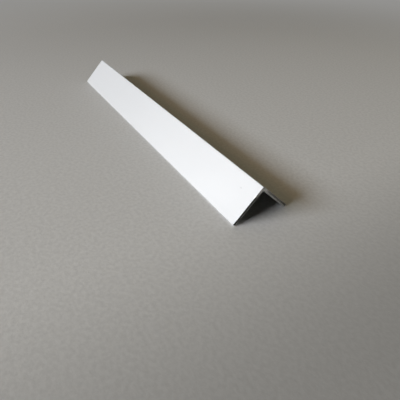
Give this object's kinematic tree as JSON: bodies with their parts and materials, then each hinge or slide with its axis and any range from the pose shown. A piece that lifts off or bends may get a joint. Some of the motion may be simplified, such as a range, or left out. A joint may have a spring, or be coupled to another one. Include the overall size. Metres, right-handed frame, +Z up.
{
  "type": "aluminium angle profile",
  "caption": "Short sawn length of equal-leg aluminium angle with a white coat, lying heel up on its two toes. Covers or protects an outside corner.",
  "frame": {"origin": "on the floor under the middle of the heel, half-way along the length", "axes": "+X along the length, +Z up through the heel, +Y across, from the left leg to the right leg"},
  "size_m": [0.2, 0.028, 0.0149],
  "materials": {
    "white_coat": "white satin powder coat on aluminium, with the sawn ends bare metal"
  },
  "bodies": {
    "root": {"angle_profile": "white_coat"}
  },
  "joints": []
}
